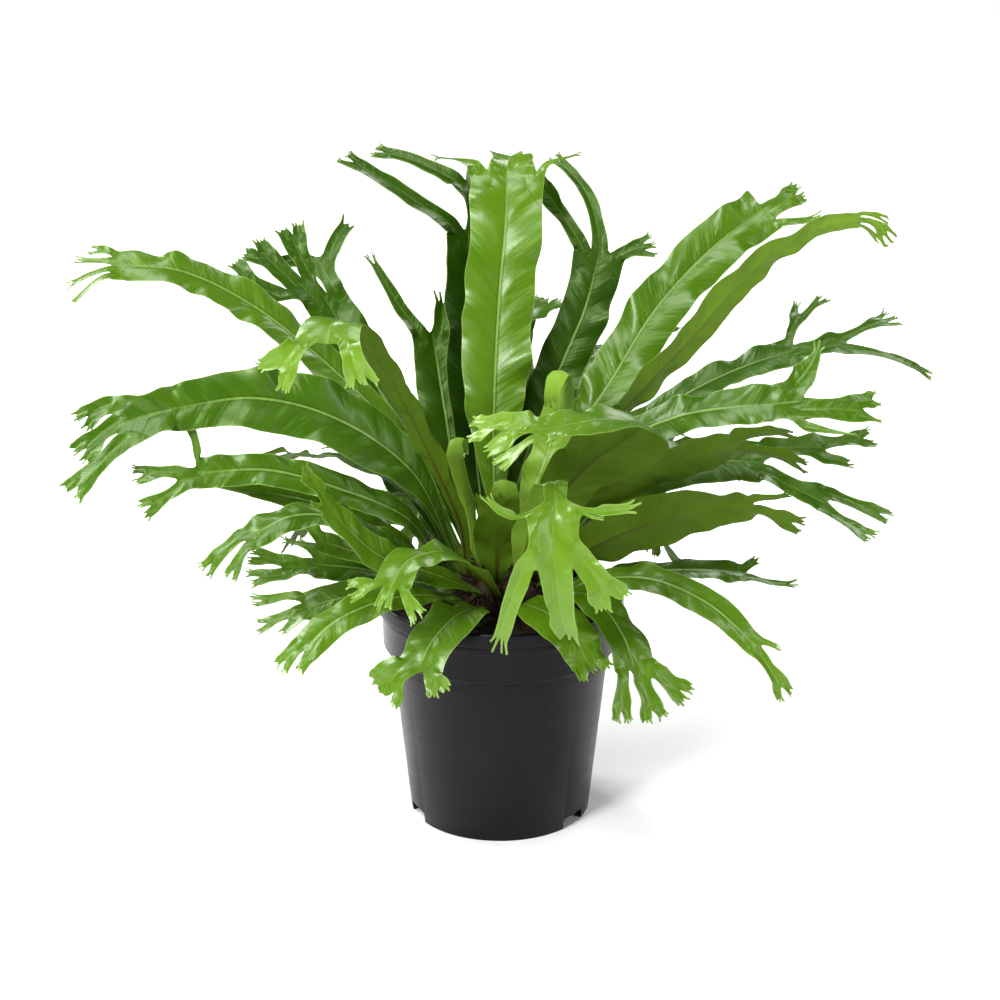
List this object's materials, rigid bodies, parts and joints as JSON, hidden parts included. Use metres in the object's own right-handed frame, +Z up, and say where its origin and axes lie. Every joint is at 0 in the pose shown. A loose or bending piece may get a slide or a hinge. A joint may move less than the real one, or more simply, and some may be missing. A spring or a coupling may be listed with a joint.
{
  "type": "potted bird's-nest fern",
  "caption": "Crested bird's-nest fern with arching glossy strap fronds that fork into antler-like tips, growing from a scaly crown in a round black nursery pot.",
  "frame": {"origin": "on the surface the pot stands on, under the middle of the plant's bounding box; the pot's axis stands 4.6 mm to the left of it and 50 mm in front of it", "axes": "+Z up, parallel to the pot's axis, -Y the front of the plant as pictured, +X to its right; the fronds reach furthest along X"},
  "size_m": [0.5914, 0.3953, 0.4568],
  "materials": {
    "pot_plastic": "satin charcoal polypropylene with fine turning lines",
    "potting_mix": "moist peat crumb with bark bits",
    "crown_scales": "dry papery brown scales on a short rhizome",
    "leaf": "glossy leathery green with a lighter midrib, matte olive beneath",
    "young_leaf": "soft glossy yellow-green of new growth"
  },
  "bodies": {
    "root": {"crown": "crown_scales", "fiddlehead_centre": "young_leaf", "fiddlehead_left": "young_leaf", "frond_01_tall_centre": "leaf", "frond_02_dark_horned": "leaf", "frond_03_left_spur": "leaf", "frond_04_long_left_arch": "leaf", "frond_05_left_antler": "leaf", "frond_06_curled_pale": "young_leaf", "frond_07_broad_left": "leaf", "frond_08_left_stag": "leaf", "frond_09_left_slip": "leaf", "frond_10_left_drooping": "leaf", "frond_11_left_hook": "leaf", "frond_12_left_ragged": "leaf", "frond_13_left_frilled": "leaf", "frond_14_low_left": "leaf", "frond_15_front_left_upturned": "leaf", "frond_16_front_fan": "young_leaf", "frond_17_front_short": "leaf", "frond_18_front_star": "young_leaf", "frond_19_rim_left": "leaf", "frond_20_rim_right": "leaf", "frond_21_rim_trailing": "leaf", "frond_22_low_right": "leaf", "frond_23_flat_right": "leaf", "frond_24_broad_right": "leaf", "frond_25_right_claw": "leaf", "frond_26_right_loop": "leaf", "frond_27_right_glossy": "leaf", "frond_28_right_ragged": "leaf", "frond_29_right_reaching": "leaf", "frond_30_great_right": "leaf", "frond_31_two_horned": "leaf", "frond_32_folded_over": "leaf", "frond_33_young_coiled": "young_leaf", "frond_34_back": "leaf", "frond_35_back": "leaf", "frond_36_back": "leaf", "frond_37_back": "leaf", "frond_38_back": "leaf", "frond_39_back": "leaf", "frond_40_back": "leaf", "frond_41_back": "leaf", "frond_42_back": "leaf", "frond_43_back": "leaf", "frond_44_back": "leaf", "frond_45_back": "leaf", "nursery_pot": "pot_plastic", "potting_soil": "potting_mix"}
  },
  "joints": []
}
